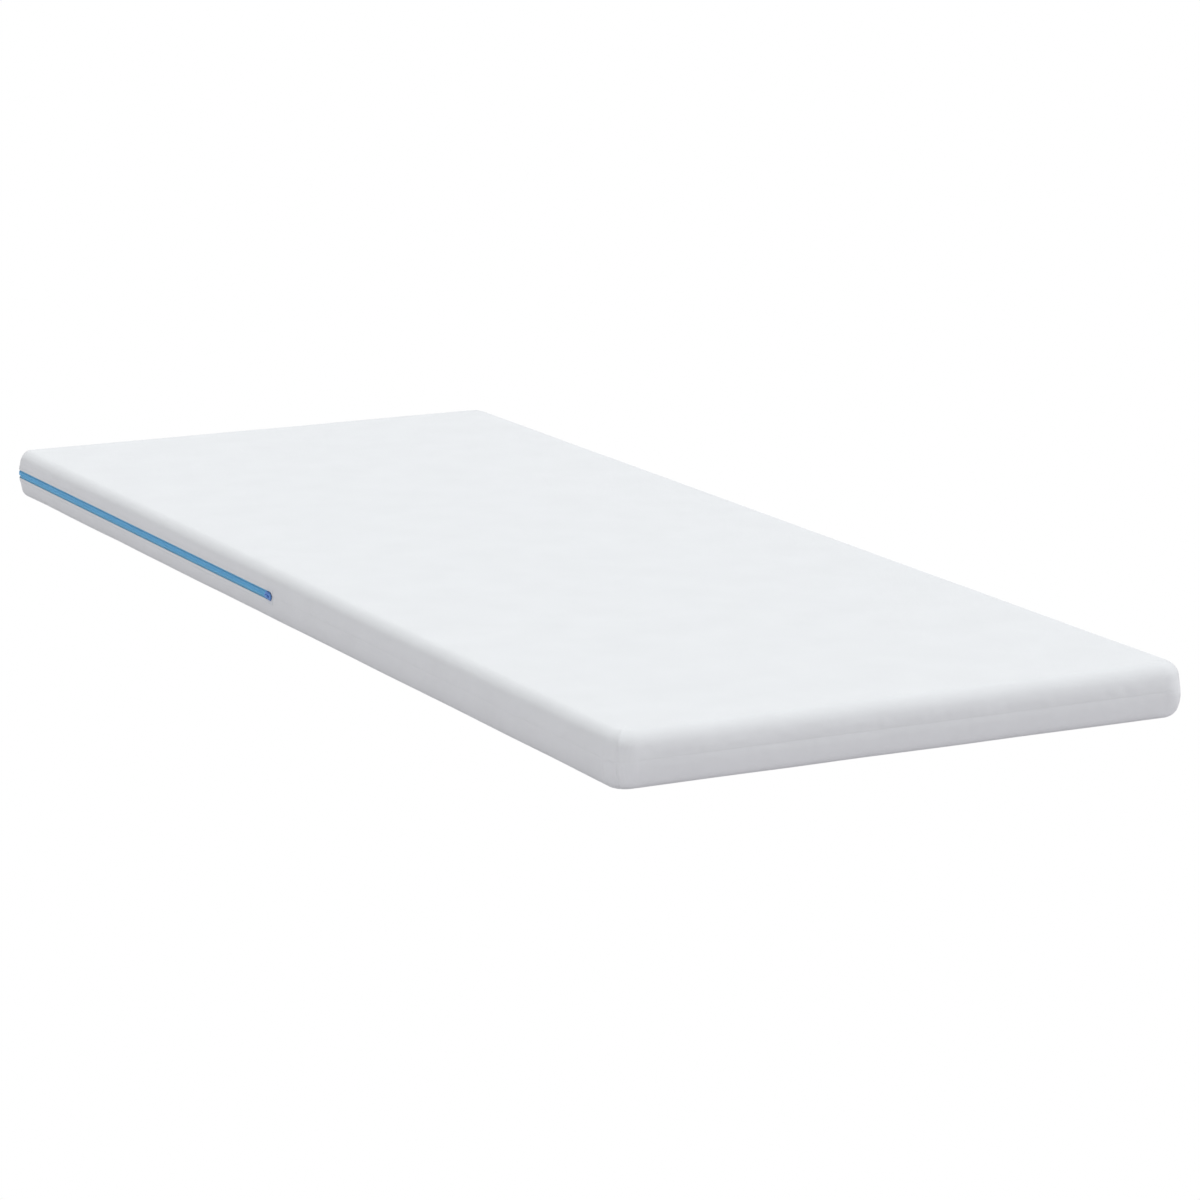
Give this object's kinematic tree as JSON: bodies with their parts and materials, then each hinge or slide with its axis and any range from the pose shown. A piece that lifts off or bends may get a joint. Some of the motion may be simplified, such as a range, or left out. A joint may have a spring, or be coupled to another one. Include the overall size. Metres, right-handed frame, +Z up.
{
  "type": "memory foam mattress",
  "caption": "Flat memory foam mattress with rounded edges in a white knitted cover that opens with a blue zip round one end.",
  "frame": {"origin": "on the floor under the middle of the mattress", "axes": "+Z up, +Y along the length towards the zipped end, +X across the width; the zip's slider rests on the -X side"},
  "size_m": [0.8043, 2, 0.07],
  "materials": {
    "cover_fabric": "fine stretch knit, matt",
    "white_thread": "spun polyester thread",
    "zip_tape": "woven tape",
    "zip_coil": "satin nylon",
    "zip_stop": "lacquered",
    "zip_slider": "lacquered",
    "sock_fabric": "thin knit",
    "memory_foam": "fine open-cell foam",
    "support_foam": "open-cell foam",
    "bond_film": "dry adhesive film"
  },
  "bodies": {
    "mattress": {"support_foam_core": "support_foam", "memory_foam_layer": "memory_foam", "foam_bond_film": "bond_film", "inner_sock": "sock_fabric", "cover_top": "cover_fabric", "cover_bottom": "cover_fabric", "cover_seam_thread": "white_thread", "corner_stitching_top": "white_thread", "corner_stitching_bottom": "white_thread", "zip_tape_upper": "zip_tape", "zip_tape_lower": "zip_tape", "zip_coil_upper": "zip_coil", "zip_coil_lower": "zip_coil", "zip_stitching_upper": "white_thread", "zip_stitching_lower": "white_thread", "zip_end_bartacks": "white_thread", "zip_top_stops": "zip_stop", "zip_bottom_stop": "zip_stop"},
    "zip_slider": {"zip_slider_body": "zip_slider"},
    "zip_pull": {"zip_pull_tab": "zip_slider"}
  },
  "joints": [
    {"name": "zip_slide", "type": "slide", "parent": "mattress", "child": "zip_slider", "axis": [0, 1, 0], "range_m": [0, 0.93], "deforming": ["zip_coil_upper", "zip_coil_lower"]},
    {"name": "pull_swing", "type": "hinge", "parent": "zip_slider", "child": "zip_pull", "pos_m": [-0.4017, 0.0096, 0.036], "axis": [0, 0, -1], "range_deg": [0, 175]}
  ]
}
